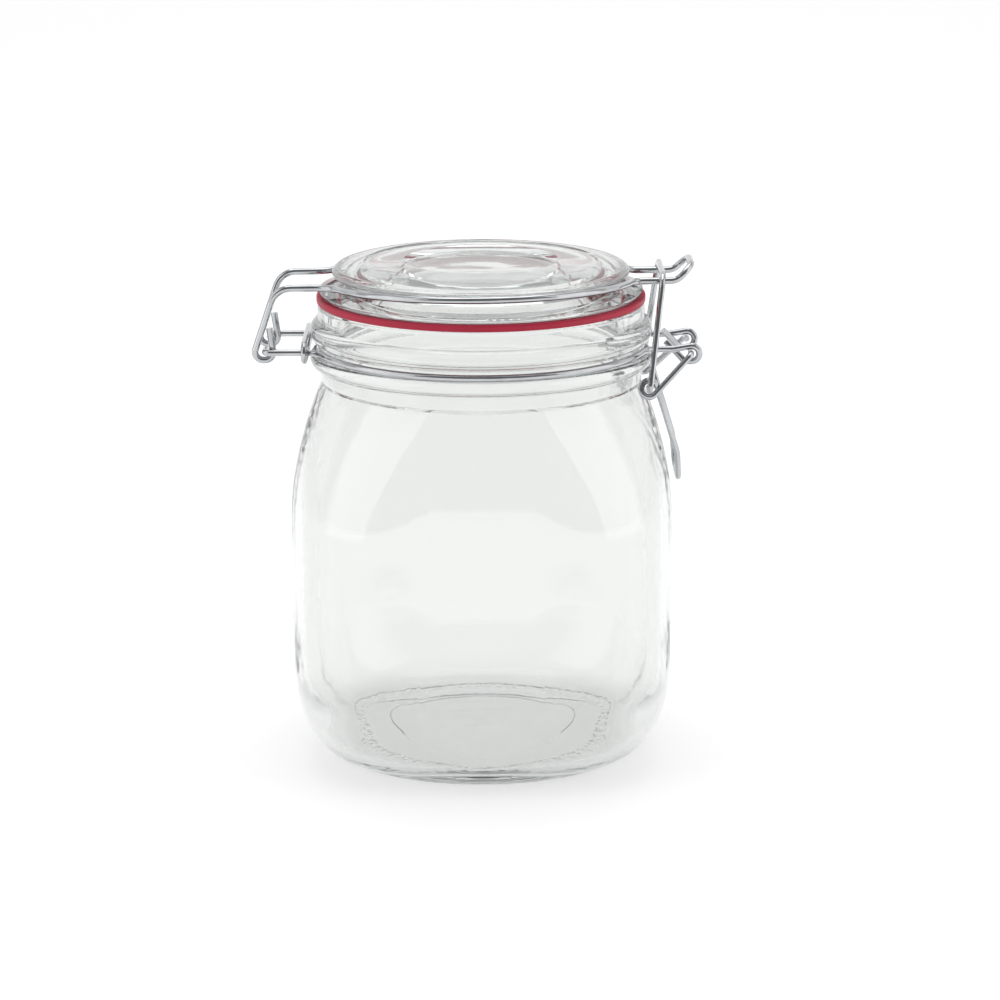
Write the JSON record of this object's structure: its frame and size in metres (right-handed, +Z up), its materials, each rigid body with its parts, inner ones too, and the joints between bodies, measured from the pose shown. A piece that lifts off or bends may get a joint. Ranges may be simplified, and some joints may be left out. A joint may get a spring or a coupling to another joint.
{
  "type": "clip-top jar",
  "caption": "Square clear-glass storage jar with round shoulders, a hinged glass lid, a red rubber ring and a steel wire clip that levers it shut.",
  "frame": {"origin": "middle of the flat ring that the jar stands on, on the axis of its round neck", "axes": "+Z up through the lid; +X towards the clasp, -X towards the lid's hinge; -Y is the front that the picture shows"},
  "size_m": [0.1296, 0.11, 0.1458],
  "materials": {
    "clear_glass": "clear pressed and blown glass, glossy, a little wavy",
    "red_rubber": "smooth moulded rubber, satin",
    "steel_wire": "bright drawn wire"
  },
  "bodies": {
    "jar": {"glass_jar": "clear_glass", "neck_wire_front": "steel_wire", "neck_wire_back": "steel_wire", "hinge_clip": "steel_wire"},
    "lid": {"glass_lid": "clear_glass", "lid_wire": "steel_wire", "gasket": "red_rubber"},
    "lever": {"clasp_lever": "steel_wire"},
    "link": {"clasp_link": "steel_wire"}
  },
  "joints": [
    {"name": "lid_hinge", "type": "hinge", "parent": "jar", "child": "lid", "pos_m": [-0.062, 0, 0.121], "axis": [0, -1, 0], "range_deg": [0, 200]},
    {"name": "lever_pivot", "type": "hinge", "parent": "jar", "child": "lever", "pos_m": [0.0603, 0, 0.1198], "axis": [0, -1, 0], "range_deg": [0, 150]},
    {"name": "link_pivot", "type": "hinge", "parent": "lever", "child": "link", "pos_m": [0.0481, 0, 0.1106], "axis": [0, -1, 0], "range_deg": [-330, 0]}
  ],
  "couplings": [
    {"joint": "link_pivot", "follows": "lever_pivot", "ratio": -2.2}
  ]
}
